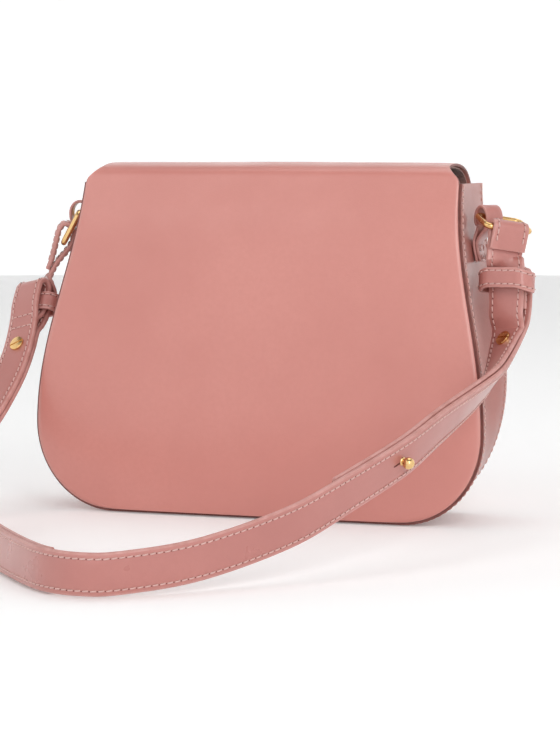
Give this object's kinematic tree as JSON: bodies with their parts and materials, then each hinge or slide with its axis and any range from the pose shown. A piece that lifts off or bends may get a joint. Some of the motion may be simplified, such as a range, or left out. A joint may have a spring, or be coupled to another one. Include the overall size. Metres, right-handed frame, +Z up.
{
  "type": "crossbody purse",
  "caption": "Saddle-shaped leather crossbody purse with a fold-over flap, a gusset, oblong metal rings and a long adjustable flat strap joined by screws and ball studs.",
  "frame": {"origin": "centre of the flat base", "axes": "+Z up, +X to the purse's right side as seen from behind, +Y towards the front that the flap covers"},
  "size_m": [0.3017, 0.3377, 0.1896],
  "materials": {
    "smooth_leather": "smooth, semi-gloss",
    "strap_leather": "smooth, semi-gloss",
    "lining_cloth": "plain weave",
    "stiff_board": "matt",
    "pale_brass": "polished"
  },
  "bodies": {
    "bag": {"back_panel": "smooth_leather", "front_panel": "smooth_leather", "gusset": "smooth_leather", "back_lining": "lining_cloth", "front_lining": "lining_cloth", "gusset_lining": "lining_cloth", "slip_pocket": "lining_cloth", "base_board": "stiff_board", "body_snap": "pale_brass", "body_snap_washer": "pale_brass", "shoulder_strap": "strap_leather", "chape_right": "smooth_leather", "adjuster_strap_right": "strap_leather", "keeper_right": "smooth_leather", "strap_screw_right": "pale_brass", "screw_post_right": "pale_brass", "strap_stud_right": "pale_brass", "stud_screw_right": "pale_brass", "chape_left": "smooth_leather", "adjuster_strap_left": "strap_leather", "keeper_left": "smooth_leather", "strap_screw_left": "pale_brass", "screw_post_left": "pale_brass", "strap_stud_left": "pale_brass", "stud_screw_left": "pale_brass"},
    "flap": {"flap_panel": "smooth_leather", "flap_lining": "lining_cloth", "flap_snap": "pale_brass"},
    "ring_right": {"ring_right": "pale_brass", "strap_tab_right": "strap_leather"},
    "ring_left": {"ring_left": "pale_brass", "strap_tab_left": "strap_leather"}
  },
  "joints": [
    {"name": "flap_open", "type": "hinge", "parent": "bag", "child": "flap", "pos_m": [0, -0.0059, 0.18115], "axis": [1, 0, 0], "range_deg": [0, 150]},
    {"name": "ring_swing_right", "type": "hinge", "parent": "bag", "child": "ring_right", "pos_m": [0.1234, 0.0102, 0.1606], "axis": [0.8004, 0.5803, -0.1501], "range_deg": [-10, 15]},
    {"name": "ring_swing_left", "type": "hinge", "parent": "bag", "child": "ring_left", "pos_m": [-0.1211, 0.0174, 0.1615], "axis": [0.3998, -0.9166, 0], "range_deg": [-10, 5]}
  ]
}
